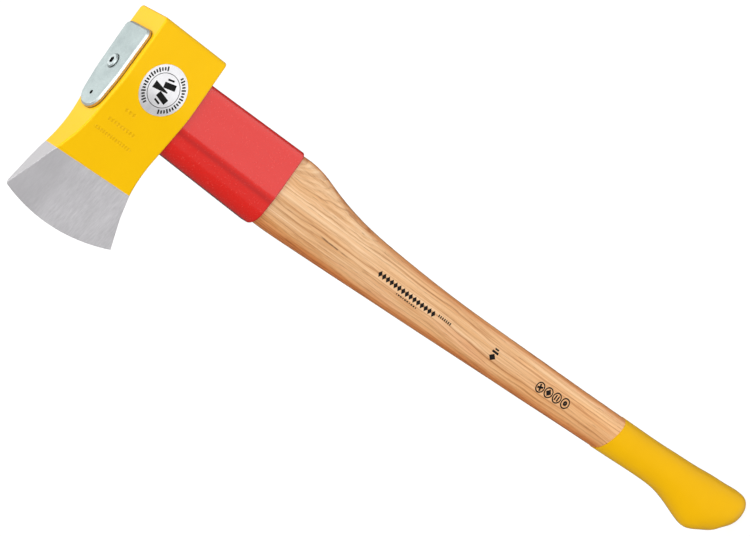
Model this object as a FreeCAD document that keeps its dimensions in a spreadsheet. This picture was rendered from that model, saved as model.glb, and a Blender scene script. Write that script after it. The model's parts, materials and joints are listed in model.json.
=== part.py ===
import FreeCAD, Part
import math
import os

import Sketcher
from FreeCAD import Placement, Rotation, Vector

# A splitting axe with a curved wooden haft. Millimetres, +Z up along the haft towards the head.
# The origin is the centre of the flat poll face. +X points out of the poll, so the cutting edge
# lies at -X, and the head is mirrored about the plane Y = 0.

document = FreeCAD.newDocument("SplittingAxe")

DRIVING_DIMENSIONS = {
    # forged head
    "head_length": 185.0,
    "head_height": 68.6,
    "poll_thickness": 47.5,
    "cheek_thickness": 49.8,
    "cheek_crease": 54.7,
    "cheek_crease_radius": 85.0,
    "grind_start": 130.7,
    "grind_start_thickness": 22.0,
    "forged_bit_thickness": 17.0,
    "forged_bit_radius": 60.0,
    "edge_thickness": 0.8,
    "edge_arc_radius": 164.0,
    "edge_arc_centre": 21.0,
    "edge_arc_rise": 4.5,
    "edge_grind_width": 32.0,
    "edge_grind_thickness": 16.4,
    "toe_back": 177.5,
    "toe_radius": 3.0,
    "heel_back": 173.0,
    "top_sweep_start": 93.0,
    "top_sweep_radius": 120.0,
    "top_sweep_angle": 15.8,
    "beard_start": 98.0,
    "beard_radius": 125.0,
    "beard_angle": 26.6,
    "poll_corner_radius": 3.5,
    "ridge_radius": 1.4,
    # eye, measured on the haft inside it
    "eye_nose": 86.4,
    "eye_nose_width": 29.2,
    "eye_nose_radius": 12.0,
    "eye_crease": 61.7,
    "eye_crease_width": 36.0,
    "eye_tail": 22.1,
    "eye_tail_width": 36.0,
    # protective sleeve
    "sleeve_wall": 1.9,
    "sleeve_length": 110.2,
    "sleeve_flare": 2.1,
    "sleeve_nose_radius": 14.0,
    "sleeve_corner_radius": 6.5,
    "sleeve_crease_radius": 2.5,
    # safety plate and its screw
    "plate_margin": 6.1,
    "plate_side_margin": 2.3,
    "plate_taper": 2.9,
    "plate_thickness": 4.2,
    "plate_nose_radius": 14.5,
    "plate_corner_radius": 5.5,
    "plate_edge_chamfer": 1.6,
    "plate_pin_hole": 3.4,
    "plate_pin_hole_back": 81.1,
    "screw_back": 51.1,
    "screw_head_diameter": 12.2,
    "screw_head_height": 2.0,
    "screw_head_round": 1.1,
    "screw_socket_size": 5.0,
    "screw_socket_depth": 1.6,
    "screw_shank_diameter": 8.0,
    "screw_length": 50.0,
    "screw_tip_length": 7.0,
    # wedges inside the eye
    "wedge_length": 54.0,
    "wedge_depth": 54.0,
    "wedge_top_thickness": 5.0,
    "wedge_foot_thickness": 1.0,
    "ring_diameter": 24.0,
    "ring_wall": 2.2,
    "ring_height": 17.0,
    "ring_edge": 0.4,
    # badge on the cheek
    "badge_diameter": 42.5,
    "badge_thickness": 0.35,
    "badge_back": 47.5,
    "badge_rise": 0.2,
    # dipped coat on the grip
    "coat_thickness": 0.4,
    "coat_top": 580.0,
    "coat_centre": 48.7,
    "coat_tilt": 16.0,
}

# Haft stations from the head down to the knob: depth below the origin, front (bit side) and back
# of the haft measured from the poll face, half thickness, and how far the section has gone from
# the eye's teardrop (0) to a plain oval (1).
HAFT_STATIONS = (
    (-34.3, 86.4, 22.1, 18.0, 0.0),
    (34.3, 86.4, 22.1, 18.0, 0.0),
    (144.5, 87.2, 20.9, 18.0, 0.0),
    (153.0, 87.6, 20.1, 17.95, 0.03),
    (164.0, 87.6, 19.8, 17.8, 0.1),
    (187.0, 86.6, 22.4, 17.4, 0.35),
    (210.0, 85.4, 27.2, 16.8, 0.6),
    (233.0, 84.3, 31.1, 16.2, 0.75),
    (283.0, 81.6, 34.8, 15.1, 1.0),
    (335.0, 79.0, 36.0, 14.4, 1.0),
    (387.0, 76.2, 35.7, 13.9, 1.0),
    (440.0, 73.4, 34.2, 13.5, 1.0),
    (495.0, 70.6, 32.5, 13.3, 1.0),
    (550.0, 67.7, 30.7, 13.2, 1.0),
    (606.0, 64.8, 28.7, 13.3, 1.0),
    (641.0, 63.1, 27.2, 13.7, 1.0),
    (664.0, 63.8, 25.6, 14.3, 1.0),
    (687.0, 68.5, 24.0, 15.0, 1.0),
    (700.5, 72.1, 22.6, 15.3, 1.0),
    (711.5, 74.0, 21.6, 15.5, 1.0),
    (722.5, 71.1, 20.9, 15.6, 1.0),
    (733.5, 65.8, 19.9, 15.4, 1.0),
    (743.5, 58.4, 19.3, 14.8, 1.0),
    (750.5, 52.0, 19.8, 13.0, 1.0),
    (755.5, 46.5, 22.6, 9.6, 1.0),
    (758.5, 42.3, 27.3, 5.4, 1.0),
)
# The first stations stand straight inside the head and the sleeve.
STRAIGHT_STATIONS = 3
SECTION_POINTS = 32
# How square the corners of the teardrop and of the oval are: 2 would give an ellipse.
TEARDROP_SHARPNESS = 14.0
OVAL_SHARPNESS = 2.25

# How near to its expected place or direction an edge must lie to be picked for a fillet.
PLACE_TOLERANCE = 1.0
FACE_TOLERANCE = 0.1
DIRECTION_SHARE = 0.9


class Size:
    """A length together with the spreadsheet expression that gives it."""

    def __init__(self, value, text):
        self.value = value
        self.text = text

    def joined(self, sign, other, value):
        text = other.text if isinstance(other, Size) else str(other)
        return Size(value, f"({self.text} {sign} {text})")

    def __add__(self, other):
        return self.joined("+", other, self.value + number(other))

    def __sub__(self, other):
        return self.joined("-", other, self.value - number(other))

    def __mul__(self, other):
        return self.joined("*", other, self.value * number(other))

    def __truediv__(self, other):
        return self.joined("/", other, self.value / number(other))

    def __neg__(self):
        return self * -1


def number(size):
    return size.value if isinstance(size, Size) else size


def sine(angle):
    return Size(math.sin(math.radians(angle.value)), f"sin({angle.text} * 1 deg)")


def cosine(angle):
    return Size(math.cos(math.radians(angle.value)), f"cos({angle.text} * 1 deg)")


def make_sheet():
    """The driving dimensions as a spreadsheet, and each of them as a Size."""
    sheet = document.addObject("Spreadsheet::Sheet", "Sizes")
    sizes = {}
    for row, (name, value) in enumerate(DRIVING_DIMENSIONS.items(), start=1):
        sheet.set(f"A{row}", name)
        sheet.set(f"B{row}", str(value))
        sheet.setAlias(f"B{row}", name)
        sizes[name] = Size(value, f"Sizes.{name}")
    document.recompute()
    return sizes


size = make_sheet()
ZERO = size["head_length"] * 0
ONE = ZERO + 1
head_top = size["head_height"] / 2
head_bottom = -head_top


def bind(feature, attribute, length):
    """Sets a feature's size from the spreadsheet."""
    feature.setExpression(attribute, length.text)


def new_body(name):
    return document.addObject("PartDesign::Body", name)


def origin_plane(body, role):
    return next(item for item in body.Origin.OriginFeatures if item.Role == role)


def new_sketch(body, name, role, offset=None):
    """A sketch on one of the body's own origin planes, shifted along its normal by offset."""
    sketch = body.newObject("Sketcher::SketchObject", name)
    sketch.AttachmentSupport = (origin_plane(body, role), [""])
    sketch.MapMode = "FlatFace"
    if offset is not None:
        bind(sketch, "AttachmentOffset.Base.z", offset)
    return sketch


def pin_point(sketch, geometry, end, across, along):
    """Holds one end of a sketch line or arc at a pair of spreadsheet sizes."""
    for kind, length in (("DistanceX", across), ("DistanceY", along)):
        index = sketch.addConstraint(Sketcher.Constraint(kind, geometry, end, length.value))
        sketch.setExpression(f"Constraints[{index}]", length.text)


def add_arc(sketch, start, end, radius, left):
    """Adds the shorter arc of a radius between two points, bulging left or right of that way.

    A sketch arc always runs anticlockwise, so one that bulges left starts at the far point.
    """
    first, last = (end, start) if left else (start, end)
    middle = (first + last) * 0.5
    half = (last - first) * 0.5
    inward = Vector(-half.y, half.x, 0).normalize()
    centre = middle + inward * math.sqrt(radius**2 - half.Length**2)
    begins = math.atan2(first.y - centre.y, first.x - centre.x)
    ends = math.atan2(last.y - centre.y, last.x - centre.x)
    if ends < begins:
        ends += 2 * math.pi
    circle = Part.Circle(centre, Vector(0, 0, 1), radius)
    return sketch.addGeometry(Part.ArcOfCircle(circle, begins, ends))


def draw_outline(sketch, corners, arcs=None):
    """A closed outline through corners, held there by the sheet. arcs gives (radius, left) by side."""
    arcs = arcs or {}
    points = [Vector(across.value, along.value, 0) for across, along in corners]
    for index, start in enumerate(points):
        following = (index + 1) % len(points)
        ends = (corners[index], corners[following])
        if index in arcs:
            radius, left = arcs[index]
            geometry = add_arc(sketch, start, points[following], radius.value, left)
            ends = ends[::-1] if left else ends
            held = sketch.addConstraint(Sketcher.Constraint("Radius", geometry, radius.value))
            sketch.setExpression(f"Constraints[{held}]", radius.text)
        else:
            geometry = sketch.addGeometry(Part.LineSegment(start, points[following]))
        pin_point(sketch, geometry, 1, *ends[0])
        pin_point(sketch, geometry, 2, *ends[1])


def draw_circle(sketch, across, along, diameter):
    circle = Part.Circle(Vector(across.value, along.value, 0), Vector(0, 0, 1), diameter.value / 2)
    geometry = sketch.addGeometry(circle)
    pin_point(sketch, geometry, 3, across, along)
    held = sketch.addConstraint(Sketcher.Constraint("Diameter", geometry, diameter.value))
    sketch.setExpression(f"Constraints[{held}]", diameter.text)


def add_feature(body, kind, name, profile=None, **settings):
    feature = body.newObject(f"PartDesign::{kind}", name)
    if profile is not None:
        feature.Profile = profile
    for attribute, value in settings.items():
        if isinstance(value, Size):
            bind(feature, attribute, value)
        else:
            setattr(feature, attribute, value)
    document.recompute()
    return feature


def edges_where(shape, wanted):
    """Names of the shape's edges whose middle point and direction pass the test."""
    names = []
    for index, edge in enumerate(shape.Edges, start=1):
        halfway = (edge.FirstParameter + edge.LastParameter) / 2
        middle = edge.valueAt(halfway)
        along = edge.tangentAt(halfway)
        if wanted(middle, along):
            names.append(f"Edge{index}")
    return names


def soften(body, kind, name, length, wanted):
    """A fillet or chamfer on the body's edges that pass the test."""
    base = body.Tip
    attribute = "Radius" if kind == "Fillet" else "Size"
    edges = edges_where(base.Shape, wanted)
    return add_feature(body, kind, name, Base=(base, edges), **{attribute: length})


def upright(along):
    return abs(along.z) > DIRECTION_SHARE


def boolean(kind, name, base, tool):
    result = document.addObject(f"Part::{kind}", name)
    result.Base = base
    result.Tool = tool
    document.recompute()
    return result


def all_of(name, shapes):
    result = document.addObject("Part::MultiFuse", name)
    result.Shapes = shapes
    document.recompute()
    return result


def head_plan(grow):
    """Outline of the forging seen from above: a flat-sided poll, a wedge, and a thick bit."""
    front = size["head_length"] + size["edge_thickness"] * 2
    stations = [
        (ZERO, size["poll_thickness"]),
        (size["cheek_crease"], size["cheek_thickness"]),
        (size["grind_start"], size["grind_start_thickness"]),
        (front, size["forged_bit_thickness"]),
    ]
    near = [(-back, -(thickness / 2 + grow)) for back, thickness in stations]
    far = [(-back, thickness / 2 + grow) for back, thickness in stations]
    return far + near[::-1]


def plan_block(name, grow):
    """The forging's plan outline as a block taller than the head, with its creases eased."""
    body = new_body(name)
    plan = new_sketch(body, f"{name}_plan", "XY_Plane")
    draw_outline(plan, head_plan(grow))
    add_feature(body, "Pad", f"{name}_pad", plan, Midplane=True, Length=size["head_length"])
    for crease, radius in (
        ("cheek_crease", "cheek_crease_radius"),
        ("grind_start", "forged_bit_radius"),
    ):
        back = DRIVING_DIMENSIONS[crease]

        def on_crease(middle, along):
            return upright(along) and abs(middle.x + back) < PLACE_TOLERANCE

        soften(body, "Fillet", f"{name}_{crease}_ease", size[radius], on_crease)
    return body


def swept_edge(start, radius, angle, end, level, way):
    """Corners of an edge that leaves the level at start, curves through an angle and runs to end."""
    curve_end = start + radius * sine(angle)
    rise = radius * (ONE - cosine(angle))
    tip = rise + (end - curve_end) * sine(angle) / cosine(angle)
    return [(-start, level), (-curve_end, level + rise * way), (-end, level + tip * way)]


def make_head_blank():
    """The head before its eye is opened: a forging, then ground to its wedge and edge."""
    body = plan_block("head_blank", ZERO)
    sweep = (size[f"top_sweep_{item}"] for item in ("start", "radius", "angle"))
    beard = (size[f"beard_{item}"] for item in ("start", "radius", "angle"))
    corners = [(ZERO, head_bottom), (ZERO, head_top)]
    corners += swept_edge(*sweep, size["toe_back"], head_top, 1)
    corners += swept_edge(*beard, size["heel_back"], head_bottom, -1)[::-1]
    arcs = {
        2: (size["top_sweep_radius"], True),
        4: (size["edge_arc_radius"], False),
        6: (size["beard_radius"], True),
    }
    side = new_sketch(body, "head_side", "XZ_Plane")
    draw_outline(side, corners, arcs)
    reach = size["head_length"] * 2
    draw_outline(side, [(-reach, -reach), (reach, -reach), (reach, reach), (-reach, reach)])
    add_feature(body, "Pocket", "head_side_cut", side, Type="ThroughAll", Midplane=True)
    round_forging(body)
    grind_bit(body)
    return body


def round_forging(body):
    """Softens the corners of the poll, then its rim and the ridges that run on to the bit."""

    def poll_corner(middle, along):
        return upright(along) and middle.x > -FACE_TOLERANCE

    def poll_rim(middle, along):
        return middle.x > -FACE_TOLERANCE

    soften(body, "Fillet", "poll_corners", size["poll_corner_radius"], poll_corner)
    soften(body, "Fillet", "poll_rim", size["ridge_radius"], poll_rim)


def grind_bit(body):
    """Grinds both sides of the bit flat to a wedge, then bevels it along the curved edge."""
    start = (-size["grind_start"], size["grind_start_thickness"] / 2)
    front = -(size["head_length"] + size["grind_start_thickness"])
    edge = (-size["head_length"], size["edge_thickness"] / 2)
    wedge = new_sketch(body, "bit_wedge", "XY_Plane")
    for side in (1, -1):
        outside = size["cheek_thickness"] * side
        corners = [(start[0], start[1] * side), (edge[0], edge[1] * side)]
        corners += [(front, edge[1] * side), (front, outside), (start[0], outside)]
        draw_outline(wedge, corners)
    add_feature(body, "Pocket", "bit_grind", wedge, Type="ThroughAll", Midplane=True)

    profile = new_sketch(body, "edge_grind", "XY_Plane", size["edge_arc_rise"])
    bind(profile, "AttachmentOffset.Base.x", -size["edge_arc_centre"])
    rim = size["edge_arc_radius"]
    inner = rim - size["edge_grind_width"]
    beyond = rim + size["edge_thickness"] * 2
    thin = size["edge_thickness"] / 2
    thick = size["edge_grind_thickness"] / 2
    outside = size["cheek_thickness"]
    for side in (1, -1):
        corners = [(-rim, thin * side), (-inner, thick * side), (-inner, outside * side)]
        corners += [(-beyond, outside * side), (-beyond, thin * side)]
        draw_outline(profile, corners)
    add_feature(body, "Groove", "edge_bevel", profile, ReferenceAxis=(profile, ["V_Axis"]))
    toe = DRIVING_DIMENSIONS["toe_back"]

    def toe_corner(middle, along):
        across = abs(along.y) > DIRECTION_SHARE
        return across and abs(middle.x + toe) < PLACE_TOLERANCE and middle.z > 0

    soften(body, "Fillet", "toe_round", size["toe_radius"], toe_corner)


def eye_teardrop(grow, side_grow, taper=ZERO):
    """The eye's teardrop: a narrow nose to the bit, flanks to a crease, then near-flat sides.

    A taper draws each side in by that much at the nose and by half as much at the crease.
    """
    nose = size["eye_nose"] + grow
    tail = size["eye_tail"] - grow
    half_nose = size["eye_nose_width"] / 2 + side_grow - taper
    half_crease = size["eye_crease_width"] / 2 + side_grow - taper / 2
    half_tail = size["eye_tail_width"] / 2 + side_grow
    return [
        (-tail, -half_tail),
        (-tail, half_tail),
        (-size["eye_crease"], half_crease),
        (-nose, half_nose),
        (-nose, -half_nose),
        (-size["eye_crease"], -half_crease),
    ]


def soften_teardrop(body, name, nose_radius, corner_radius, crease_radius):
    """Rounds the upright edges of a teardrop block: nose, blunt corners and creases."""
    crease = DRIVING_DIMENSIONS["eye_crease"]
    tail = DRIVING_DIMENSIONS["eye_tail"]
    nose = DRIVING_DIMENSIONS["eye_nose"]
    reach = DRIVING_DIMENSIONS["plate_margin"] + PLACE_TOLERANCE

    def near(place):
        return lambda middle, along: upright(along) and abs(middle.x + place) < reach

    soften(body, "Fillet", f"{name}_corners", corner_radius, near(tail))
    soften(body, "Fillet", f"{name}_nose", nose_radius, near(nose))
    soften(body, "Fillet", f"{name}_creases", crease_radius, near(crease))


def section_radius(angle, station, grow):
    """Distance from the middle of a haft section to its outline, at an angle from +X.

    The teardrop is the smooth meet of its straight sides and of the two shoulders beside its
    nose, and the oval that of four sides.
    """
    front, back, half, oval_share = station[1:]
    toward = (math.cos(angle), math.sin(angle))
    reach = (front - back) / 2 + grow
    per_width = half / DRIVING_DIMENSIONS["eye_tail_width"]
    tail = (reach, half)
    crease_place = (front + back) / 2 - DRIVING_DIMENSIONS["eye_crease"]
    crease = (crease_place, DRIVING_DIMENSIONS["eye_crease_width"] * per_width)
    nose = (-reach, DRIVING_DIMENSIONS["eye_nose_width"] * per_width)
    sides = [(1, 0, reach), (-1, 0, reach)]
    for start, end in ((tail, crease), (crease, nose)):
        run = (start[0] - end[0], start[1] - end[1])
        length = math.hypot(*run)
        normal = (-run[1] / length, run[0] / length)
        distance = normal[0] * start[0] + normal[1] * start[1] + grow
        sides += [(normal[0], normal[1], distance), (normal[0], -normal[1], distance)]
    turn = math.sqrt(0.5)
    rounding = DRIVING_DIMENSIONS["eye_nose_radius"]
    shoulder = (reach - grow + nose[1] - rounding * 2) * turn + rounding + grow
    sides += [(-turn, turn, shoulder), (-turn, -turn, shoulder)]
    ovals = [(1, 0, reach), (-1, 0, reach), (0, 1, half + grow), (0, -1, half + grow)]

    def meet(planes, sharpness):
        pulls = [max(0, x * toward[0] + y * toward[1]) / distance for x, y, distance in planes]
        return sum(pull**sharpness for pull in pulls) ** (-1 / sharpness)

    teardrop = meet(sides, TEARDROP_SHARPNESS)
    oval = meet(ovals, OVAL_SHARPNESS)
    return teardrop + (oval - teardrop) * oval_share


def haft_section(station, grow):
    """One closed outline across the haft, starting at its nose."""
    front, back = station[1:3]
    middle = -(front + back) / 2
    points = []
    for step in range(SECTION_POINTS):
        angle = math.pi + 2 * math.pi * step / SECTION_POINTS
        radius = section_radius(angle, station, grow)
        points.append(Vector(middle + radius * math.cos(angle), radius * math.sin(angle), 0))
    shares = [step / SECTION_POINTS for step in range(SECTION_POINTS + 1)]
    curve = Part.BSplineCurve()
    curve.interpolate(Points=points, Parameters=shares, PeriodicFlag=True)
    return curve


def add_haft_section(body, name, station, grow, end_grow):
    sketch = new_sketch(body, name, "XY_Plane")
    sketch.AttachmentOffset = Placement(Vector(0, 0, -station[0] - end_grow), Rotation())
    sketch.addGeometry(haft_section(station, grow))
    return sketch


def make_haft_loft(name, grow):
    """The haft's full outside, from the top of the eye to the knob, grown by a coat's thickness."""
    body = new_body(name)
    last = len(HAFT_STATIONS) - 1
    sections = []
    for index, station in enumerate(HAFT_STATIONS):
        end_grow = grow if index == last else 0
        sections.append(add_haft_section(body, f"{name}_section_{index}", station, grow, end_grow))
    document.recompute()
    straight = sections[:STRAIGHT_STATIONS]
    shaped = sections[STRAIGHT_STATIONS - 1 :]
    add_feature(body, "AdditiveLoft", f"{name}_eye", straight[0], Sections=straight[1:], Ruled=True)
    add_feature(body, "AdditiveLoft", f"{name}_grip", shaped[0], Sections=shaped[1:])
    return body


def make_sleeve_blank():
    """The sleeve's outside, which flares a little from the head down to its lower end."""
    body = new_body("sleeve_blank")
    wall = size["sleeve_wall"]
    flare = size["sleeve_flare"]
    upper = new_sketch(body, "sleeve_top", "XY_Plane", head_bottom)
    draw_outline(upper, eye_teardrop(wall, wall))
    lower = new_sketch(body, "sleeve_end", "XY_Plane", head_bottom - size["sleeve_length"])
    draw_outline(lower, eye_teardrop(wall + flare, wall + flare / 4))
    add_feature(body, "AdditiveLoft", "sleeve_loft", upper, Sections=[lower])
    soften_teardrop(
        body,
        "sleeve",
        size["sleeve_nose_radius"],
        size["sleeve_corner_radius"],
        size["sleeve_crease_radius"],
    )
    return body


def make_safety_plate():
    """The plate that covers the eye, with the screw's hole and a small locating hole."""
    body = new_body("safety_plate")
    outline = new_sketch(body, "plate_outline", "XY_Plane", head_top)
    sides = eye_teardrop(size["plate_margin"], size["plate_side_margin"], size["plate_taper"])
    draw_outline(outline, sides)
    add_feature(body, "Pad", "plate_pad", outline, Length=size["plate_thickness"])
    soften_teardrop(
        body,
        "plate",
        size["plate_nose_radius"],
        size["plate_corner_radius"],
        size["cheek_crease_radius"],
    )
    top = DRIVING_DIMENSIONS["head_height"] / 2 + DRIVING_DIMENSIONS["plate_thickness"]

    def top_rim(middle, along):
        return middle.z > top - FACE_TOLERANCE

    soften(body, "Chamfer", "plate_rim", size["plate_edge_chamfer"], top_rim)
    holes = new_sketch(body, "plate_holes", "XY_Plane", head_top)
    draw_circle(holes, -size["screw_back"], ZERO, size["screw_shank_diameter"])
    draw_circle(holes, -size["plate_pin_hole_back"], ZERO, size["plate_pin_hole"])
    drilling = {"Type": "ThroughAll", "Midplane": True}
    add_feature(body, "Pocket", "plate_drilling", holes, **drilling)
    return body


def turned_profile(body, name, corners):
    """A solid of revolution about the screw's axis, from half of its section."""
    profile = new_sketch(body, name, "XZ_Plane")
    bind(profile, "AttachmentOffset.Base.x", -size["screw_back"])
    draw_outline(profile, corners)
    add_feature(body, "Revolution", f"{name}_turned", profile, ReferenceAxis=(profile, ["V_Axis"]))


def make_plate_screw():
    """The hex-socket screw that draws the plate and haft together."""
    body = new_body("plate_screw")
    seat = head_top + size["plate_thickness"]
    crown = seat + size["screw_head_height"]
    head = size["screw_head_diameter"] / 2
    shank = size["screw_shank_diameter"] / 2
    tip = crown - size["screw_length"]
    corners = [
        (ZERO, tip),
        (shank, tip + size["screw_tip_length"]),
        (shank, seat),
        (head, seat),
        (head, crown - size["screw_head_round"]),
        (head - size["screw_head_round"], crown),
        (ZERO, crown),
    ]
    turned_profile(body, "screw_section", corners)
    socket = new_sketch(body, "screw_socket", "XY_Plane", crown)
    flat = size["screw_socket_size"] / 2
    corner = flat / cosine(Size(30, "30"))
    hexagon = []
    for step in range(6):
        turn = Size(60.0 * step, str(60 * step))
        hexagon.append((corner * cosine(turn) - size["screw_back"], corner * sine(turn)))
    draw_outline(socket, hexagon)
    add_feature(body, "Pocket", "screw_socket_cut", socket, Length=size["screw_socket_depth"])
    return body


def make_ring_blank():
    """The ring wedge: a steel ring whose inner wall opens towards a thin lower edge."""
    body = new_body("ring_wedge")
    outer = size["ring_diameter"] / 2
    foot = head_top - size["ring_height"]
    corners = [
        (outer - size["ring_edge"], foot),
        (outer, foot),
        (outer, head_top),
        (outer - size["ring_wall"], head_top),
    ]
    turned_profile(body, "ring_section", corners)
    return body


def make_wedge_blank():
    """The wooden wedge that spreads the haft along the eye."""
    body = new_body("wedge_blank")
    middle = (size["eye_nose"] + size["eye_tail"]) / 2
    section = new_sketch(body, "wedge_section", "YZ_Plane", -middle)
    top = size["wedge_top_thickness"] / 2
    foot = size["wedge_foot_thickness"] / 2
    end = head_top - size["wedge_depth"]
    draw_outline(section, [(-foot, end), (foot, end), (top, head_top), (-top, head_top)])
    add_feature(body, "Pad", "wedge_pad", section, Midplane=True, Length=size["wedge_length"])
    return body


def make_badge_stamp():
    """A round bar across the near cheek, as wide as the badge."""
    body = new_body("badge_stamp")
    face = new_sketch(body, "badge_outline", "XZ_Plane")
    draw_circle(face, -size["badge_back"], size["badge_rise"], size["badge_diameter"])
    add_feature(body, "Pad", "badge_pad", face, Length=size["cheek_thickness"])
    return body


def make_dip_zone():
    """Everything below the tilted line that the grip's coat reaches."""
    zone = document.addObject("Part::Box", "dip_zone")
    span = size["head_length"] * 2
    for attribute in ("Length", "Width", "Height"):
        bind(zone, attribute, span)
    tilt = Rotation(Vector(0, 1, 0), DRIVING_DIMENSIONS["coat_tilt"])
    corner = Vector(-span.value / 2, -span.value / 2, -span.value)
    middle = Vector(-DRIVING_DIMENSIONS["coat_centre"], 0, -DRIVING_DIMENSIONS["coat_top"])
    zone.Placement = Placement(middle + tilt.multVec(corner), tilt)
    return zone


def check_document():
    """Raises if any object failed to build."""
    for item in document.Objects:
        if "Invalid" in item.State or "Error" in item.State:
            raise RuntimeError(f"{item.Name} failed: {item.State}")


def build_nodes():
    """Every separate piece of the axe, by its name."""
    head_blank = make_head_blank()
    haft_stock = make_haft_loft("haft_stock", 0)
    coat_stock = make_haft_loft("coat_stock", DRIVING_DIMENSIONS["coat_thickness"])
    sleeve_blank = make_sleeve_blank()
    wedge_blank = make_wedge_blank()
    badge_stamp = make_badge_stamp()
    badge_skin = plan_block("badge_skin", size["badge_thickness"])
    ring_wedge = make_ring_blank()
    plate_screw = make_plate_screw()
    driven = all_of("driven_pieces", [ring_wedge, plate_screw])
    wedge_room = all_of("wedge_room", [ring_wedge, plate_screw, wedge_blank])
    badge_blank = boolean("Common", "badge_blank", badge_skin, badge_stamp)
    coat_blank = boolean("Common", "coat_blank", coat_stock, make_dip_zone())
    return {
        "axe_head": boolean("Cut", "axe_head", head_blank, haft_stock),
        "haft": boolean("Cut", "haft", haft_stock, wedge_room),
        "grip_coating": boolean("Cut", "grip_coating", coat_blank, haft_stock),
        "protective_sleeve": boolean("Cut", "protective_sleeve", sleeve_blank, haft_stock),
        "safety_plate": make_safety_plate(),
        "plate_screw": plate_screw,
        "eye_wedge": boolean("Cut", "eye_wedge", wedge_blank, driven),
        "ring_wedge": ring_wedge,
        "cheek_badge": boolean("Cut", "cheek_badge", badge_blank, head_blank),
    }


def write_parts(nodes):
    os.makedirs("parts", exist_ok=True)
    for name, item in nodes.items():
        shape = item.Shape
        if shape.isNull() or not shape.isValid():
            raise RuntimeError(f"{name} has no valid shape")
        item.Label = name
        shape.exportStep(os.path.join("parts", f"{name}.step"))
        print(f"{name}: {len(shape.Solids)} solid, {shape.Volume / 1000:.2f} cm3")


nodes = build_nodes()
check_document()
write_parts(nodes)
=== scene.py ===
"""Looks of the splitting axe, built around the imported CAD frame. Metres, in the row frame:
the origin is the centre of the poll face, +X points out of the poll, the cutting edge lies
at -X and +Z runs up the haft towards the head. The badge and the prints are on the -Y side.
"""

import json
import math

import bmesh
import bpy
from mathutils import Matrix, Vector
from mathutils.bvhtree import BVHTree


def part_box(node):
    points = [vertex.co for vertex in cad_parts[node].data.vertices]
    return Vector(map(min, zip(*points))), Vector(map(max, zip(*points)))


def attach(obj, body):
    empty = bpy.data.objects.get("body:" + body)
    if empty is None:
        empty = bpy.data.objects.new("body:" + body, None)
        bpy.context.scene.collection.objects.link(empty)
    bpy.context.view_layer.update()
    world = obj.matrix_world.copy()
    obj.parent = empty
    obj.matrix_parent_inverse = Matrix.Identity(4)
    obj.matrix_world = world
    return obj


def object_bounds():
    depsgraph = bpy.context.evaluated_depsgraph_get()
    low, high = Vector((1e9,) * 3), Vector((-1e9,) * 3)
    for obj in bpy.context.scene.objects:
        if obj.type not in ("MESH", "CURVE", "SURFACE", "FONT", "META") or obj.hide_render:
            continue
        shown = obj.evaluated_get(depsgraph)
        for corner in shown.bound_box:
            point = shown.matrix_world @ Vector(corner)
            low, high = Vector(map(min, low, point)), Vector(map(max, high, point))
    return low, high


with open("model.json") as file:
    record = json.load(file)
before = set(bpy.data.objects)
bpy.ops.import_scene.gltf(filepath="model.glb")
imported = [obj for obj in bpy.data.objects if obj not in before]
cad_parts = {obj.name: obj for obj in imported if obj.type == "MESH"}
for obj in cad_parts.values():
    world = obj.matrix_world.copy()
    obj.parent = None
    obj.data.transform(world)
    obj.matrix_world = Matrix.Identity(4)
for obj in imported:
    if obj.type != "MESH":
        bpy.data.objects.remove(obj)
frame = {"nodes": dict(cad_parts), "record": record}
cad_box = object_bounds()
nodes = frame["nodes"]
mounts = {mount["name"]: mount for mount in frame["record"]["mounts"]}

MM = 0.001

# The camera looks down on the badge side, rolled so that the haft runs from upper left to
# lower right. Its target lies on the middle plane of the axe, beside the haft's upper half.
CAMERA_TARGET = Vector((-0.05696, 0, -0.2772))
CAMERA_DISTANCE = 2.905
CAMERA_AZIMUTH = math.radians(-3.5)
CAMERA_ELEVATION = math.radians(34)
CAMERA_ROLL = math.radians(37.2)
CAMERA_LENS = 167.04
CAMERA_RIGHT = Vector((math.cos(CAMERA_AZIMUTH), math.sin(CAMERA_AZIMUTH), 0))
CAMERA_BACK = Vector(
    (
        math.sin(CAMERA_AZIMUTH) * math.cos(CAMERA_ELEVATION),
        -math.cos(CAMERA_AZIMUTH) * math.cos(CAMERA_ELEVATION),
        math.sin(CAMERA_ELEVATION),
    )
)


def srgb(red, green, blue):
    """A colour given in display values, 0 to 255, as the linear colour that nodes take."""

    def linear(value):
        share = value / 255
        return share / 12.92 if share <= 0.04045 else ((share + 0.055) / 1.055) ** 2.4

    return (linear(red), linear(green), linear(blue), 1.0)


def grey(value):
    """A linear grey of this brightness."""
    return (value, value, value, 1.0)


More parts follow.
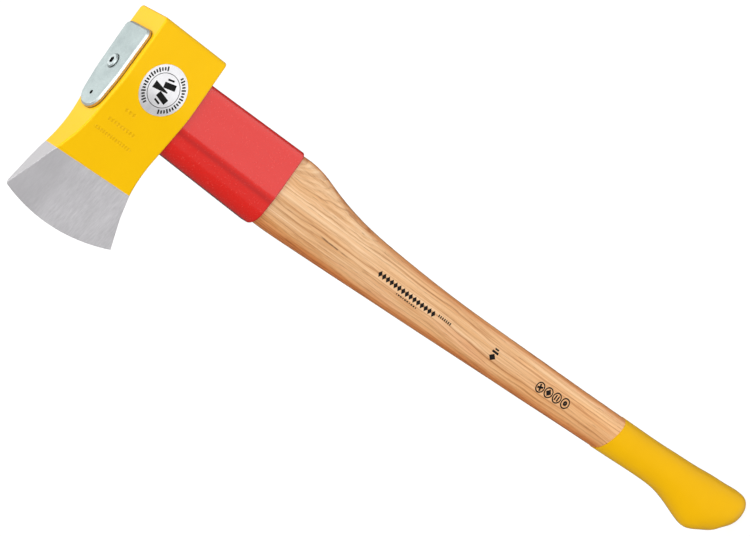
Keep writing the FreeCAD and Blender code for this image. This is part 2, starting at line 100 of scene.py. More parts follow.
class Graph:
    """A node tree that is filled by short calls, each returning the new node's output socket."""

    def __init__(self, tree):
        self.tree = tree
        tree.nodes.clear()

    def add(self, kind, inputs=None, output=0, **settings):
        node = self.tree.nodes.new(kind)
        for name, value in settings.items():
            setattr(node, name, value)
        for name, value in (inputs or {}).items():
            self.feed(node.inputs[name], value)
        return node.outputs[output] if node.outputs else node

    def feed(self, socket, value):
        if isinstance(value, bpy.types.NodeSocket):
            self.tree.links.new(value, socket)
        else:
            socket.default_value = value

    # -------------------------------- numbers

    def math(self, operation, first, second=0.0, third=0.0):
        inputs = {0: first, 1: second, 2: third}
        return self.add("ShaderNodeMath", inputs, operation=operation)

    def product(self, first, *others):
        for other in others:
            first = self.math("MULTIPLY", first, other)
        return first

    def line(self, value, slope, start):
        """The value times a slope, plus a start."""
        return self.math("MULTIPLY_ADD", value, slope, start)

    def swing(self, pattern, width):
        """A pattern of 0 to 1 as a length that swings to both sides of nought."""
        return self.math("MULTIPLY", self.math("SUBTRACT", pattern, 0.5), width)

    def off(self, value, middle):
        """How far a value lies from a middle, on either side."""
        return self.math("ABSOLUTE", self.math("SUBTRACT", value, middle))

    def step(self, value, start, end):
        """0 up to start, 1 from end, and a smooth rise between them. start may be above end."""
        inputs = {"Value": value, "From Min": start, "From Max": end}
        return self.add("ShaderNodeMapRange", inputs, interpolation_type="SMOOTHSTEP")

    def between(self, share, first, second):
        """A number share of the way from first to second."""
        return self.add("ShaderNodeMix", {0: share, 2: first, 3: second}, data_type="FLOAT")

    # -------------------------------- places and directions

    def vector(self, operation, first, second=(0, 0, 0), output=0):
        inputs = {0: first, 1: second}
        return self.add("ShaderNodeVectorMath", inputs, output, operation=operation)

    def parts(self, place):
        """The X, Y and Z of a place or a direction."""
        node = self.tree.nodes.new("ShaderNodeSeparateXYZ")
        self.feed(node.inputs[0], place)
        return node.outputs

    def scaled(self, place, across, deep, along):
        """The place stretched for a pattern with this many features per metre on each axis."""
        return self.vector("MULTIPLY", place, (across, deep, along))

    def toward(self, direction, aim):
        """The cosine between a direction and an aim, and 0 for what points away from the aim."""
        cosine = self.vector("DOT_PRODUCT", direction, aim, output=1)
        return self.math("MAXIMUM", cosine, 0.0)

    def smooth_normal(self):
        """The direction in which the shaded surface faces."""
        return self.add("ShaderNodeNewGeometry", output=1)

    def true_normal(self):
        """The direction in which the flat face of the mesh faces."""
        return self.add("ShaderNodeNewGeometry", output=3)

    # -------------------------------- patterns and masks

    def noise(self, place, scale=1.0, detail=2.0, roughness=0.5):
        inputs = {"Vector": place, "Scale": scale, "Detail": detail, "Roughness": roughness}
        return self.add("ShaderNodeTexNoise", inputs)

    def corners(self, distance, open_from=0.82, closed_at=0.4):
        """1 in tight corners and holes, 0 in the open: the mask where shade is painted."""
        inputs = {"Distance": distance}
        reach = self.add("ShaderNodeAmbientOcclusion", inputs, output=1, samples=8)
        return self.step(reach, open_from, closed_at)

    def grazing(self, start, end):
        """0 where the surface faces the viewer, 1 where it turns away at the outline, where shade is
        painted.
        """
        turned = self.add("ShaderNodeLayerWeight", {"Blend": 0.5}, output=1)
        return self.step(turned, start, end)

    # -------------------------------- colours

    def mix(self, share, first, second, blend="MIX"):
        inputs = {0: share, 6: first, 7: second}
        settings = {"data_type": "RGBA", "blend_type": blend}
        return self.add("ShaderNodeMix", inputs, output=2, **settings)

    def cover(self, below, colour, where, strength=1.0):
        """A colour laid over what is below it where a mask is 1, at this strength."""
        return self.mix(self.product(where, strength), below, colour)

    def stain(self, below, tint, where=1.0, strength=1.0):
        """What is below multiplied by a tint where a mask is 1, at this strength."""
        stained = self.mix(1.0, below, tint, "MULTIPLY")
        return self.cover(below, stained, where, strength)

    def ramp(self, value, *stops):
        node = self.tree.nodes.new("ShaderNodeValToRGB")
        self.feed(node.inputs[0], value)
        elements = node.color_ramp.elements
        while len(elements) < len(stops):
            elements.new(0.5)
        for element, (position, colour) in zip(elements, stops):
            element.position = position
            element.color = colour
        return node.outputs[0]

    # -------------------------------- relief and surface

    def eased(self, radius):
        """The surface normal as if every edge were rounded to this radius."""
        return self.add("ShaderNodeBevel", {"Radius": radius}, samples=6)

    def bump(self, height, depth, below=None):
        """A normal for a height field of 0 to 1 that stands depth metres high."""
        inputs = {"Height": height, "Distance": depth, "Strength": 1.0}
        if below is not None:
            inputs["Normal"] = below
        return self.add("ShaderNodeBump", inputs)

    def surface(self, **inputs):
        named = {name.replace("_", " "): value for name, value in inputs.items()}
        shader = self.add("ShaderNodeBsdfPrincipled", named)
        self.add("ShaderNodeOutputMaterial", {"Surface": shader})


def new_material(name):
    """A new material, its empty graph, and the place on the axe that its patterns start from."""
    material = bpy.data.materials.new(name)
    material.use_nodes = True
    graph = Graph(material.node_tree)
    place = graph.add("ShaderNodeTexCoord", output=3)
    return material, graph, place


# ---------------------------------------------------------------- forged head

# The paint ends at a slanting line across the bit: how far back it lies, and its slope.
PAINT_END_BACK = 131.5 * MM
PAINT_END_SLOPE = 0.036
HALF_HEAD_HEIGHT = 34 * MM

# Rows of marks pressed into the cheek, in mm: how far back, the height of the row's middle,
# half its length, and the distance from one mark to the next.
STAMPED_ROWS = ((77.0, 10.0, 6.0, 4.1), (90.0, 8.0, 15.0, 3.3), (101.0, 8.0, 20.0, 2.7))


def stamped_marks(graph, place):
    """Rows of small plain marks pressed into the near cheek, as 0 or 1."""
    x, y, z = graph.parts(place)
    marks = 0.0
    for back, middle, half_length, pitch in STAMPED_ROWS:
        row = graph.step(graph.off(x, -back * MM), 1.5 * MM, 1.1 * MM)
        within = graph.step(graph.off(z, middle * MM), half_length * MM, (half_length - 0.5) * MM)
        beat = graph.math("FRACT", graph.math("MULTIPLY", z, 1 / (pitch * MM)))
        tooth = graph.step(graph.off(beat, 0.5), 0.28, 0.2)
        marks = graph.math("MAXIMUM", graph.product(row, within, tooth), marks)
    near_side = graph.step(y, 0.0, -5 * MM)
    return graph.product(marks, near_side)


def head_paint(graph, place, eased):
    """Yellow lacquer over the forging's uneven skin. Returns colour, roughness and normal."""
    forging = graph.noise(place, scale=38, detail=3, roughness=0.55)
    peel = graph.noise(place, scale=750)
    clouds = graph.noise(place, scale=26, detail=4, roughness=0.6)
    stamped = stamped_marks(graph, place)

    colour = graph.mix(clouds, srgb(250, 197, 0), srgb(245, 189, 0))
    colour = graph.cover(colour, srgb(222, 160, 0), stamped, 0.35)
    # Painted shade: the paint darkens in tight corners, beside the plate and the sleeve.
    colour = graph.cover(colour, srgb(70, 42, 0), graph.corners(2.2 * MM), 0.95)
    rough = graph.line(clouds, 0.12, 0.26)
    relief = graph.bump(forging, 0.5 * MM, eased)
    relief = graph.bump(peel, 0.010 * MM, relief)
    relief = graph.bump(graph.math("SUBTRACT", 1.0, stamped), 0.25 * MM, relief)
    return colour, rough, relief


def head_steel(graph, place, eased):
    """Ground steel with fine marks across the bit. Returns colour, roughness and normal."""
    streaks = graph.noise(graph.scaled(place, 10, 640, 640), detail=5, roughness=0.72)
    wide_streaks = graph.noise(graph.scaled(place, 6, 90, 90), detail=3, roughness=0.6)
    mottle = graph.noise(place, scale=55, detail=5, roughness=0.62)
    tone = graph.line(streaks, 0.6, graph.product(mottle, 0.15))
    tone = graph.line(wide_streaks, 0.25, tone)
    dull, plain, bright = srgb(186, 184, 187), srgb(204, 202, 205), srgb(222, 220, 223)
    colour = graph.ramp(tone, (0.3, dull), (0.5, plain), (0.72, bright))

    # The colour is darker on the upper half of the bit, and darker again on faces that point upward.
    height = graph.parts(place)[2]
    upper_half = graph.step(height, 0.0, HALF_HEAD_HEIGHT)
    colour = graph.cover(colour, srgb(182, 180, 183), upper_half, 0.6)
    upward = graph.parts(graph.smooth_normal())[2]
    colour = graph.cover(colour, srgb(186, 184, 186), graph.step(upward, 0.3, 0.8))
    rough = graph.line(mottle, 0.18, 0.36)
    return colour, rough, graph.bump(streaks, 0.012 * MM, eased)


def head_material():
    """Glossy yellow lacquer on the forging, and bare ground steel from the paint's end on."""
    material, graph, place = new_material("head_paint_and_steel")
    x, _, z = graph.parts(place)
    wobble = graph.noise(graph.scaled(place, 60, 60, 260), detail=3)
    paint_end = graph.line(z, -PAINT_END_SLOPE, -PAINT_END_BACK)
    paint_end = graph.line(wobble, 0.7 * MM, paint_end)
    bare = graph.step(graph.math("SUBTRACT", paint_end, x), -0.25 * MM, 0.25 * MM)

    eased = graph.eased(1.0 * MM)
    paint, paint_rough, paint_normal = head_paint(graph, place, eased)
    steel, steel_rough, steel_normal = head_steel(graph, place, eased)
    normals = {0: bare, 4: paint_normal, 5: steel_normal}
    graph.surface(
        Base_Color=graph.mix(bare, paint, steel),
        Metallic=graph.product(bare, 0.3),
        Roughness=graph.between(bare, paint_rough, steel_rough),
        Specular_IOR_Level=graph.between(bare, 0.3, 0.5),
        Specular_Tint=graph.mix(bare, srgb(255, 246, 190), grey(1.0)),
        Normal=graph.add("ShaderNodeMix", normals, output=1, data_type="VECTOR"),
    )
    return material


# ---------------------------------------------------------------- sleeve

# The crease between the sleeve's flat side and its flank to the bit, along which a band of painted
# shade runs.
SLEEVE_CREASE_BACK = 66.0 * MM
SLEEVE_CREASE_SLOPE = 0.004
SLEEVE_CREASE_WIDTH = 4.0 * MM


def sleeve_material():
    """Red lacquer on pressed sheet steel, with shallow dents, a little scuffing and painted glints.
    """
    material, graph, place = new_material("sleeve_red_lacquer")
    x, _, z = graph.parts(place)
    clouds = graph.noise(graph.scaled(place, 30, 30, 9), detail=4, roughness=0.6)
    dents = graph.noise(graph.scaled(place, 40, 40, 16))
    peel = graph.noise(place, scale=620)
    # Light specks: partly scuffs, partly painted glints of the lacquer's sheen.
    scuffs_and_glints = graph.step(graph.noise(place, scale=620, detail=3, roughness=0.6), 0.5, 0.8)
    # Painted shade: a dark band along the crease.
    crease_place = graph.line(z, SLEEVE_CREASE_SLOPE, -SLEEVE_CREASE_BACK)
    crease = graph.step(graph.off(x, crease_place), SLEEVE_CREASE_WIDTH, 0.0)
    crease = graph.product(crease, graph.line(clouds, 0.5, 0.3))

    colour = graph.mix(clouds, srgb(226, 33, 22), srgb(216, 25, 17))
    colour = graph.cover(colour, srgb(240, 92, 80), scuffs_and_glints, 0.22)
    colour = graph.cover(colour, srgb(176, 14, 14), crease)
    # Painted shade in tight corners, where the sleeve meets the head and the haft.
    colour = graph.cover(colour, srgb(96, 10, 8), graph.corners(2.0 * MM), 0.7)
    # Painted shade: the red darkens where the surface turns away at the outline.
    colour = graph.cover(colour, srgb(120, 6, 12), graph.grazing(0.72, 0.95))
    relief = graph.bump(dents, 0.3 * MM, graph.eased(2.2 * MM))
    graph.surface(
        Base_Color=colour,
        Roughness=graph.line(scuffs_and_glints, 0.06, graph.line(clouds, 0.08, 0.2)),
        Specular_IOR_Level=0.72,
        Normal=graph.bump(peel, 0.02 * MM, relief),
    )
    return material


# ---------------------------------------------------------------- wood

# The growth rings lie round a pith far outside the haft, at this X and Y.
PITH_X = -0.21
PITH_Y = 0.075
RING_WIDTH = 3.1 * MM

# The line of the haft's bit side, where the heartwood begins: how far back, and its slope.
HEARTWOOD_BACK = 93.2 * MM
HEARTWOOD_SLOPE = -0.048

# One dark mineral streak beside the prints: how far back it lies, and the heights over which
# it fades in at its foot and out at its head.
STREAK_BACK = 65.4 * MM
STREAK_FOOT = (-0.246, -0.222)
STREAK_HEAD = (-0.209, -0.203)

# Wood above this height is inside the eye, seen only down the holes of the plate.
EYE_DEPTH = (30 * MM, 31 * MM)
EYE_SHADOW = srgb(30, 18, 10)


def growth_rings(graph, place):
    """How far through its ring a place lies, 0 to 1, and how strongly that ring shows."""
    x, y, z = graph.parts(place)
    slow = graph.noise(graph.scaled(place, 9, 9, 3.2))
    waves = graph.noise(graph.scaled(place, 42, 42, 9), detail=3, roughness=0.55)
    swirl = graph.noise(graph.scaled(place, 34, 34, 22))
    # The swirl sits below the sleeve, on the poll side of the haft.
    swirl_here = graph.product(graph.step(z, -0.33, -0.15), graph.step(x, -0.065, -0.03))
    bend = graph.math("ADD", graph.swing(slow, 34 * MM), graph.swing(waves, 11 * MM))
    bend = graph.line(graph.swing(swirl, 26 * MM), swirl_here, bend)

    from_pith_x = graph.math("SUBTRACT", graph.math("ADD", x, bend), PITH_X)
    from_pith_y = graph.math("SUBTRACT", y, PITH_Y)
    squares = graph.line(from_pith_y, from_pith_y, graph.product(from_pith_x, from_pith_x))
    distance = graph.math("SQRT", squares)
    outward = graph.add("ShaderNodeCombineXYZ", {0: graph.product(distance, 130)})
    uneven = graph.noise(outward)
    years = graph.line(distance, 1 / RING_WIDTH, graph.product(uneven, 2.2))
    year = graph.math("FLOOR", years)
    own_strength = graph.add("ShaderNodeTexWhiteNoise", {1: year}, noise_dimensions="1D")
    strength = graph.noise(graph.scaled(place, 60, 60, 2.5))
    strength = graph.product(strength, graph.line(own_strength, 1.5, 0.25))
    return graph.math("FRACT", years), strength


def heartwood(graph, place):
    """1 along the bit side of the haft, with a wandering border."""
    x, _, z = graph.parts(place)
    wander = graph.noise(graph.scaled(place, 20, 20, 5), detail=3)
    front_edge = graph.line(z, HEARTWOOD_SLOPE, -HEARTWOOD_BACK)
    from_front = graph.math("SUBTRACT", x, front_edge)
    from_front = graph.math("ADD", from_front, graph.swing(wander, 22 * MM))
    return graph.step(from_front, 22 * MM, 1 * MM)


def mineral_streak(graph, place):
    """1 on one thin broken streak on the near side of the haft."""
    x, y, z = graph.parts(place)
    wave = graph.noise(graph.scaled(place, 0, 0, 28))
    middle = graph.line(wave, 2.4 * MM, -STREAK_BACK)
    thin = graph.step(graph.off(x, middle), 0.9 * MM, 0.15 * MM)
    span = graph.product(graph.step(z, *STREAK_FOOT), graph.step(z, *reversed(STREAK_HEAD)))
    near_side = graph.step(y, 0.0, -6 * MM)
    broken = graph.step(graph.noise(graph.scaled(place, 0, 0, 160), detail=1), 0.35, 0.5)
    return graph.product(thin, span, near_side, graph.line(broken, 0.8, 0.1))


def wood_surface(graph, place):
    """Lacquered hardwood with its grain along the haft. Returns colour, roughness and normal."""
    year, strength = growth_rings(graph, place)
    early = graph.product(graph.step(year, 0.0, 0.10), graph.step(year, 0.52, 0.16))
    late = graph.step(year, 0.55, 1.0)

    # Fibres and open pores, drawn out along the haft.
    fibres = graph.noise(graph.scaled(place, 430, 430, 8), detail=5, roughness=0.72)
    broad = graph.noise(graph.scaled(place, 95, 95, 2.2), detail=3, roughness=0.6)
    fine = graph.noise(graph.scaled(place, 2600, 2600, 60))
    lines = graph.noise(graph.scaled(place, 820, 820, 6), detail=3, roughness=0.65)
    lines = graph.product(graph.step(lines, 0.56, 0.7), graph.step(broad, 0.62, 0.4))
    pores = graph.noise(graph.scaled(place, 1900, 1900, 75), detail=1)
    pores = graph.product(graph.step(pores, 0.62, 0.72), early)
    flecks = graph.noise(graph.scaled(place, 700, 700, 240), detail=1)
    flecks = graph.step(flecks, 0.6, 0.75)
    tints = graph.noise(graph.scaled(place, 28, 28, 4), detail=3, roughness=0.6)

    fibre_tone = graph.ramp(
        fibres, (0.3, srgb(206, 172, 132)), (0.46, srgb(248, 240, 228)), (0.66, grey(1.08))
    )
    broad_tone = graph.ramp(broad, (0.32, srgb(238, 218, 190)), (0.55, grey(1.0)), (0.72, grey(1.05)))
    tint_tone = graph.ramp(
        tints, (0.3, srgb(255, 238, 214)), (0.6, grey(1.0)), (0.75, srgb(255, 243, 246))
    )
    ring_share = graph.product(early, graph.line(strength, 0.8, 0.25))

    colour = graph.cover(srgb(246, 213, 176), srgb(228, 179, 126), late, 0.45)
    colour = graph.cover(colour, srgb(192, 134, 78), ring_share, 0.75)
    colour = graph.stain(colour, fibre_tone, strength=0.8)
    colour = graph.stain(colour, broad_tone)
    colour = graph.cover(colour, srgb(176, 122, 74), lines, 0.7)
    colour = graph.cover(colour, srgb(150, 100, 62), pores, 0.55)
    colour = graph.cover(colour, srgb(196, 140, 90), flecks, 0.10)
    colour = graph.stain(colour, srgb(242, 214, 176), heartwood(graph, place), 0.75)
    colour = graph.stain(colour, tint_tone)

    # Painted shade: the narrow sides, which turn away to either side, are stained warmer and darker.
    facing_x = graph.math("ABSOLUTE", graph.parts(graph.smooth_normal())[0])
    colour = graph.stain(colour, srgb(246, 192, 128), graph.step(facing_x, 0.4, 0.9), 0.8)
    # Painted shade in tight corners and next to other parts.
    colour = graph.cover(colour, srgb(66, 40, 20), graph.corners(3.0 * MM), 0.85)
    height = graph.parts(place)[2]
    colour = graph.cover(colour, EYE_SHADOW, graph.step(height, *EYE_DEPTH))
    # Painted shade: the wood darkens where it turns away at the outline.
    colour = graph.cover(colour, srgb(122, 78, 40), graph.grazing(0.78, 0.98))
    colour = graph.cover(colour, srgb(120, 78, 46), mineral_streak(graph, place))

    rough = graph.line(fibres, 0.16, graph.line(early, 0.06, 0.34))
    relief = graph.line(fine, 0.3, graph.product(fibres, 0.7))
    relief = graph.math("SUBTRACT", relief, pores)
    return colour, rough, graph.bump(relief, 0.035 * MM)


def haft_material():
    material, graph, place = new_material("haft_lacquered_wood")
    colour, rough, normal = wood_surface(graph, place)
    graph.surface(
        Base_Color=colour,
        Roughness=rough,
        Specular_IOR_Level=0.45,
        Coat_Weight=0.12,
        Coat_Roughness=0.22,
        Normal=normal,
    )
    return material


def raw_wood_material():
    """The unlacquered wood of the wedge inside the eye."""
    material, graph, place = new_material("wedge_raw_wood")
    fibres = graph.noise(graph.scaled(place, 700, 700, 20), detail=4, roughness=0.7)
    bands = graph.noise(graph.scaled(place, 240, 240, 4))
    tone = graph.line(fibres, 0.6, graph.product(bands, 0.4))
    colour = graph.ramp(tone, (0.3, srgb(176, 128, 82)), (0.7, srgb(222, 182, 134)))
    height = graph.parts(place)[2]
    graph.surface(
        Base_Color=graph.cover(colour, EYE_SHADOW, graph.step(height, *EYE_DEPTH)),
        Roughness=graph.line(fibres, 0.2, 0.6),
        Normal=graph.bump(fibres, 0.05 * MM),
    )
    return material


def grip_material():
    """A satin yellow dip coat that still shows the haft's fibres and has thickened in places."""
    material, graph, place = new_material("grip_dip_coat")
    fibres = graph.noise(graph.scaled(place, 700, 700, 14), detail=3, roughness=0.6)
    sags = graph.noise(graph.scaled(place, 45, 45, 22), detail=3)
    peel = graph.noise(place, scale=480)
    clouds = graph.noise(place, scale=30, detail=4, roughness=0.6)
    colour = graph.mix(clouds, srgb(243, 186, 0), srgb(236, 177, 0))
    relief = graph.line(fibres, 0.5, graph.product(peel, 0.5))
    graph.surface(
        # Painted shade: the coat darkens where it turns away at the outline.
        Base_Color=graph.cover(colour, srgb(150, 98, 0), graph.grazing(0.78, 0.98)),
        Roughness=graph.line(clouds, 0.14, 0.34),
        Specular_IOR_Level=0.35,
        Specular_Tint=srgb(255, 240, 150),
        Normal=graph.bump(relief, 0.02 * MM, graph.bump(sags, 0.3 * MM)),
    )
    return material


# ---------------------------------------------------------------- zinc, foil and ink


def well(graph, place, back, radius, rim):
    """1 inside an upright hole on the middle plane, this far back, below its rim."""
    offset = graph.vector("SUBTRACT", place, (-back, 0, 0))
    flat = graph.vector("MULTIPLY", offset, (1, 1, 0))
    from_axis = graph.vector("LENGTH", flat, output=1)
    height = graph.parts(place)[2]
    below_rim = graph.step(height, rim, rim - 0.2 * MM)
    return graph.product(graph.step(from_axis, radius + 0.15 * MM, radius), below_rim)


def zinc_material(name, light, dark, grain, hole=None, wall=None):
    """Passivated zinc: cloudy grey with fine crystals and faint handling marks.

    A hole, given as for a well, is painted dark inside as shade. A wall colour, a painted reflection,
    goes on the upright sides, and with it the slanting rim above them gets a painted highlight.
    """
    material, graph, place = new_material(name)
    clouds = graph.noise(place, scale=70, detail=5, roughness=0.65)
    crystals = graph.noise(place, scale=grain, detail=3, roughness=0.6)
    marks = graph.noise(graph.scaled(place, 90, 1500, 300), detail=3, roughness=0.6)
    tone = graph.line(clouds, 0.6, graph.product(crystals, 0.4))
    colour = graph.ramp(tone, (0.35, dark), (0.65, light))
    if wall is not None:
        upward = graph.parts(graph.true_normal())[2]
        # Painted highlight: the slanting rim above the upright sides is lightened.
        rim = graph.product(graph.step(upward, 0.5, 0.6), graph.step(upward, 0.9, 0.8))
        colour = graph.cover(colour, srgb(240, 244, 244), rim, 0.35)
        # Painted reflection: the upright sides take the wall colour.
        colour = graph.cover(colour, wall, graph.step(upward, 0.5, 0.2))
    # Painted shade in tight corners, such as the ring round the screw's head.
    colour = graph.cover(colour, srgb(16, 16, 16), graph.corners(1.6 * MM, 0.88, 0.55))
    if hole is not None:
        # Painted shade: the inside of the hole is dark.
        colour = graph.cover(colour, srgb(8, 8, 8), well(graph, place, *hole))
    graph.surface(
        Base_Color=colour,
        Metallic=0.55,
        Roughness=graph.line(marks, 0.2, 0.3),
        Normal=graph.bump(crystals, 0.006 * MM, graph.eased(0.5 * MM)),
    )
    return material


def plate_material():
    """The plate's zinc. Its upright sides carry a painted reflection of the yellow paint that they
    face.
    """
    mount = mounts["plate_pin_hole"]
    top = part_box("safety_plate")[1].z
    pin_hole = (-mount["pos_m"][0], 1.75 * MM, top + 0.1 * MM)
    light, dark, wall = srgb(166, 178, 177), srgb(142, 154, 154), srgb(206, 166, 92)
    return zinc_material("plate_zinc", light, dark, 900, pin_hole, wall)


def screw_material():
    """The screw's zinc, with painted shade in its hex socket."""
    low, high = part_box("plate_screw")
    hex_socket = (-(low.x + high.x) / 2, 3.0 * MM, high.z - 0.3 * MM)
    return zinc_material("screw_zinc", srgb(184, 194, 194), srgb(160, 170, 170), 1400, hex_socket)


def foil_material():
    """Silver foil of the badge, finely brushed."""
    material, graph, place = new_material("badge_foil")
    brushed = graph.noise(graph.scaled(place, 160, 160, 2600), detail=3, roughness=0.6)
    clouds = graph.noise(place, scale=120, detail=4, roughness=0.6)
    tone = graph.line(brushed, 0.5, graph.product(clouds, 0.5))
    graph.surface(
        Base_Color=graph.ramp(tone, (0.3, srgb(214, 213, 216)), (0.7, srgb(244, 243, 245))),
        Metallic=0.5,
        Roughness=graph.line(clouds, 0.15, 0.26),
        Normal=graph.bump(brushed, 0.003 * MM),
    )
    return material


def ink_material(name, colour, worn, scale):
    """Printing ink, a little uneven where it sank into the surface."""
    material, graph, place = new_material(name)
    patches = graph.noise(place, scale=scale, detail=4, roughness=0.7)
    graph.surface(
        Base_Color=graph.mix(graph.step(patches, 0.5, 0.8), colour, worn),
        Roughness=graph.line(patches, 0.25, 0.38),
        Specular_IOR_Level=0.12,
        Normal=graph.bump(patches, 0.01 * MM),
    )
    return material


def dress(node, material):
    nodes[node].data.materials.clear()
    nodes[node].data.materials.append(material)


dress("axe_head", head_material())
dress("protective_sleeve", sleeve_material())
dress("haft", haft_material())
dress("grip_coating", grip_material())
dress("safety_plate", plate_material())
dress("plate_screw", screw_material())
dress("ring_wedge", zinc_material("ring_steel", srgb(150, 150, 152), srgb(112, 112, 116), 700))
dress("eye_wedge", raw_wood_material())
dress("cheek_badge", foil_material())


# ---------------------------------------------------------------- prints


class Print:
    """Flat ink shapes drawn in mm in a plane across X and Z, then laid on the near side of a node.

    The centre is given in mm too, as X and Z. A turn leans the print's own first axis from +X
    towards +Z. Shapes are cut into cells of about the cell's size, so that they can follow a
    curved surface.
    """

    def __init__(self, name, node, centre, turn=0.0, cell=0.9):
        self.name = name
        self.node = node
        self.centre = Vector(centre)
        self.turn = turn
        self.cell = cell
        self.points = []
        self.faces = []

    def patch(self, rows):
        """A sheet through rows of points, each row the same length."""
        first = len(self.points)
        width = len(rows[0])
        for row in rows:
            self.points += [Vector(point) for point in row]
        for i in range(len(rows) - 1):
            for j in range(width - 1):
                a = first + i * width + j
                self.faces.append((a, a + 1, a + width + 1, a + width))

    def quad(self, a, b, c, d):
        """A four-sided shape with corners in order round it."""
        a, b, c, d = (Vector(corner) for corner in (a, b, c, d))
        across = max(1, math.ceil(max((b - a).length, (c - d).length) / self.cell))
        along = max(1, math.ceil(max((d - a).length, (c - b).length) / self.cell))
        rows = []
        for i in range(along + 1):
            start, end = a.lerp(d, i / along), b.lerp(c, i / along)
            rows.append([start.lerp(end, j / across) for j in range(across + 1)])
        self.patch(rows)

    def bar(self, centre, length, width, angle=0.0):
        """A bar whose length runs at an angle from the print's own first axis."""
        along = Vector((math.cos(angle), math.sin(angle))) * length / 2
        side = Vector((-math.sin(angle), math.cos(angle))) * width / 2
        middle = Vector(centre)
        foot, head = middle - along, middle + along
        self.quad(foot - side, head - side, head + side, foot + side)

    def lozenge(self, centre, length, width):
        x, y = centre
        self.quad((x - length / 2, y), (x, y - width / 2), (x + length / 2, y), (x, y + width / 2))

    def ring(self, centre, inner, outer):
        """A flat ring between two radii."""
        steps = math.ceil(2 * math.pi * outer / self.cell)
        rings = max(1, math.ceil((outer - inner) / self.cell))
        rows = []
        for i in range(rings + 1):
            radius = inner + (outer - inner) * i / rings
            angles = [2 * math.pi * (1 - j / steps) for j in range(steps + 1)]
            rows.append([around(centre, radius, angle) for angle in angles])
        self.patch(rows)

    def on_node(self, point, tree):
        """Where a point of the print meets the node's near side, and the normal there."""
        cosine, sine = math.cos(self.turn), math.sin(self.turn)
        x = self.centre.x + point.x * cosine - point.y * sine
        z = self.centre.y + point.x * sine + point.y * cosine
        place, normal, _, _ = tree.ray_cast(Vector((x * MM, -1, z * MM)), Vector((0, 1, 0)))
        return place, normal

    def build(self, material, proud=0.05, sunk=0.12):
        """Lays the shapes on the node as a thin closed layer of ink."""
        surface = nodes[self.node].data
        tree = BVHTree.FromPolygons(
            [vertex.co for vertex in surface.vertices],
            [tuple(face.vertices) for face in surface.polygons],
        )
        laid = [self.on_node(point, tree) for point in self.points]
        top = [place + normal * proud * MM for place, normal in laid]
        foot = [place - normal * sunk * MM for place, normal in laid]
        count = len(top)
        sides = {side for face in self.faces for side in zip(face, face[1:] + face[:1])}
        outer_sides = [(a, b) for a, b in sides if (b, a) not in sides]
        faces = list(self.faces)
        faces += [tuple(count + i for i in reversed(face)) for face in self.faces]
        faces += [(b, a, count + a, count + b) for a, b in sorted(outer_sides)]
        mesh = bpy.data.meshes.new(self.name)
        mesh.from_pydata(top + foot, [], faces)
        mesh.materials.append(material)
        join_seams(mesh)
        piece = bpy.data.objects.new(self.name, mesh)
        bpy.context.scene.collection.objects.link(piece)
        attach(piece, "root")


def around(centre, radius, angle):
    """The point at this radius and angle from a centre."""
    return (centre[0] + radius * math.cos(angle), centre[1] + radius * math.sin(angle))


def join_seams(mesh):
    """Merges the points where a ring meets itself, and turns every face outward."""
    shape = bmesh.new()
    shape.from_mesh(mesh)
    bmesh.ops.remove_doubles(shape, verts=shape.verts, dist=0.002 * MM)
    bmesh.ops.recalc_face_normals(shape, faces=shape.faces)
    shape.to_mesh(mesh)
    shape.free()


def badge_print():
    """A ring, a rim of ticks in two arcs, and a sign of a wedge between two halves of a log."""
    low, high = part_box("cheek_badge")
    middle = ((low.x + high.x) / 2 / MM, (low.z + high.z) / 2 / MM)
    badge = Print("badge_print", "cheek_badge", middle, cell=0.6)
    badge.ring((0, 0), 14.0, 14.5)

    ticks, tick_radius = 17, 17.6
    for first, last in ((26, 154), (206, 334)):
        for step in range(ticks):
            angle = math.radians(first + (last - first) * step / (ticks - 1))
            length = 2.8 if step % 3 else 3.8
            badge.bar(around((0, 0), tick_radius, angle), length, 1.35, angle)

    for side in (1, -1):
        lean = math.radians(90 + 14 * side)
        badge.bar((side * 5.4, -2.6), 11.0, 5.0, lean)
        badge.bar((side * 9.9, -0.6), 6.0, 1.6, lean)
    badge.quad((-0.5, -4.0), (0.5, -4.0), (3.2, 10.6), (-3.2, 10.6))
    ink = ink_material("badge_ink", srgb(16, 15, 15), srgb(40, 38, 36), 700)
    badge.build(ink, proud=0.03, sunk=0.08)


def centred(count, pitch):
    """This many places in a row, evenly spaced about nought."""
    return [(step - (count - 1) / 2) * pitch for step in range(count)]


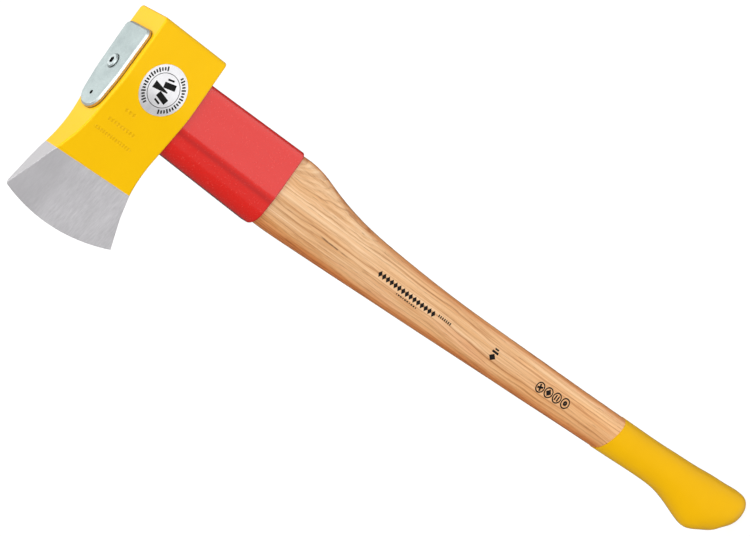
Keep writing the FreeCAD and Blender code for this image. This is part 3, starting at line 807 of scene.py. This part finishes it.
def haft_prints():
    """Plain ornaments along the haft: rows of lozenges, dashes and ticks, and five signs."""
    ink = ink_material("print_ink", srgb(14, 12, 12), srgb(52, 45, 40), 900)
    down_the_haft = math.radians(-90)
    upright = math.pi / 2

    lozenges = Print("haft_print_band", "haft", (-58.7, -308.5), down_the_haft)
    for place in centred(15, 68 / 14):
        lozenges.lozenge((place, 0), 4.6, 6.0)
    lozenges.build(ink)

    dashes = Print("haft_print_dashes", "haft", (-63.7, -312.1), down_the_haft)
    for step, place in enumerate(centred(10, 2.7)):
        dashes.bar((place, 0), 1.9 if step % 3 else 1.1, 1.1)
    dashes.build(ink)

    ticks = Print("haft_print_ticks", "haft", (-57.0, -356.0), down_the_haft)
    for place in centred(7, 2.4):
        ticks.bar((place, 0), 2.4, 1.2, upright)
    ticks.build(ink)

    sign = Print("haft_print_block_sign", "haft", (-55.3, -419.4), cell=0.6)
    sign.lozenge((-2.2, 0), 6.6, 8.0)
    sign.bar((2.6, 0), 7.6, 2.0, upright)
    sign.bar((5.4, 0), 4.6, 1.5, upright)
    sign.build(ink)

    round_signs = Print("haft_print_round_signs", "haft", (-52.3, -496.8), cell=0.6)
    cross, lozenge, bars, dot = [(place / 18, -place) for place in centred(4, 10.8)]
    for middle in (cross, lozenge, bars, dot):
        round_signs.ring(middle, 3.9, 5.1)
    for angle in (20, 110):
        round_signs.bar(cross, 6.4, 1.9, math.radians(angle))
    round_signs.lozenge(lozenge, 6.6, 6.6)
    for rise in (1.5, -1.5):
        round_signs.bar((bars[0], bars[1] + rise), 5.2, 1.5)
    round_signs.ring(dot, 0.3, 2.3)
    round_signs.build(ink)


badge_print()
haft_prints()


# ---------------------------------------------------------------- stage

# The soft light comes from above the viewer, and a weaker one from behind and below.
MAIN_LIGHT = Vector((-0.044, -0.715, 0.699))
REAR_LIGHT = Vector((0, 0.8, -0.6))
FLOOR_HALF_WIDTH = 20.0


def add_floor():
    """A pale floor just under the axe. It shines evenly, so that it needs no lamp of its own."""
    reach = FLOOR_HALF_WIDTH
    corners = [(-reach, -reach, 0), (reach, -reach, 0), (reach, reach, 0), (-reach, reach, 0)]
    mesh = bpy.data.meshes.new("floor")
    mesh.from_pydata(corners, [], [(0, 1, 2, 3)])
    material, graph, place = new_material("pale_floor")
    specks = graph.noise(place, scale=9, detail=3)
    graph.surface(
        Base_Color=graph.ramp(specks, (0.3, grey(0.10)), (0.7, grey(0.13))),
        Roughness=0.9,
        Emission_Color=grey(1.0),
        Emission_Strength=0.9,
    )
    mesh.materials.append(material)
    floor = bpy.data.objects.new("floor", mesh)
    floor.location.z = cad_box[0].z - 0.2 * MM
    floor.visible_glossy = False
    floor.visible_diffuse = False
    bpy.context.scene.collection.objects.link(floor)


def soft_light(graph, direction):
    """The world as matt surfaces see it."""
    main = graph.toward(direction, MAIN_LIGHT)
    rear = graph.toward(direction, REAR_LIGHT)
    soft = graph.line(graph.product(main, main), 2.15, 0.24)
    return graph.line(graph.product(rear, rear), 1.5, soft)


def mirrored_light(graph, direction):
    """The world as shiny surfaces see it: a bright ceiling, dark to both sides, a low panel to
    the right of the viewer, and a lamp beside the viewer.
    """
    x, y, z = graph.parts(direction)
    off_sides = graph.step(graph.math("ABSOLUTE", x), 0.75, 0.45)
    ceiling = graph.product(graph.step(z, 0.05, 0.5), 1.5, off_sides)
    low = graph.product(graph.step(z, -0.15, -0.4), graph.step(y, 0.1, -0.2))
    panel = graph.product(low, graph.step(x, -0.2, 0.06), 1.6)
    beside_viewer = graph.toward(direction, CAMERA_BACK)
    lamp = graph.product(graph.step(beside_viewer, 0.818, 0.938), 3.2)
    seen = graph.math("ADD", graph.math("ADD", ceiling, panel), lamp)
    return graph.math("ADD", seen, 0.12)


def make_world():
    """A studio that is soft for matt surfaces and has clear shapes in it for shiny ones."""
    world = bpy.data.worlds.new("studio")
    bpy.context.scene.world = world
    world.use_nodes = True
    graph = Graph(world.node_tree)
    direction = graph.add("ShaderNodeTexCoord", output=0)
    soft = soft_light(graph, direction)
    mirrored = mirrored_light(graph, direction)
    is_glossy = graph.add("ShaderNodeLightPath", output=3)
    strength = graph.between(is_glossy, soft, mirrored)
    background = graph.add("ShaderNodeBackground", {"Color": grey(1.0), "Strength": strength})
    graph.add("ShaderNodeOutputWorld", {"Surface": background})


def add_top_light():
    """A soft lamp above and behind the axe, which lifts the top faces."""
    data = bpy.data.lights.new("light_above", "AREA")
    data.shape = "RECTANGLE"
    data.size = 0.5
    data.size_y = 0.4
    data.energy = 12
    light = bpy.data.objects.new("light_above", data)
    light.location = (-0.45, 1.3, 1.5)
    aim = (cad_box[0] + cad_box[1]) / 2 - light.location
    light.rotation_euler = aim.to_track_quat("-Z", "Y").to_euler()
    light.visible_camera = False
    bpy.context.scene.collection.objects.link(light)


def add_camera():
    data = bpy.data.cameras.new("camera")
    data.lens = CAMERA_LENS
    data.sensor_width = 36
    data.clip_start = 0.05
    data.clip_end = 100
    camera = bpy.data.objects.new("camera", data)
    bpy.context.scene.collection.objects.link(camera)
    up = CAMERA_BACK.cross(CAMERA_RIGHT)
    side = CAMERA_RIGHT * math.sin(CAMERA_ROLL) - up * math.cos(CAMERA_ROLL)
    top = CAMERA_RIGHT * math.cos(CAMERA_ROLL) + up * math.sin(CAMERA_ROLL)
    axes = Matrix((side, top, CAMERA_BACK)).transposed().to_4x4()
    place = CAMERA_TARGET + CAMERA_BACK * CAMERA_DISTANCE
    camera.matrix_world = Matrix.Translation(place) @ axes
    bpy.context.scene.camera = camera


add_floor()
make_world()
add_top_light()
add_camera()
bpy.context.scene.view_settings.view_transform = "Standard"
bpy.context.scene.view_settings.look = "None"
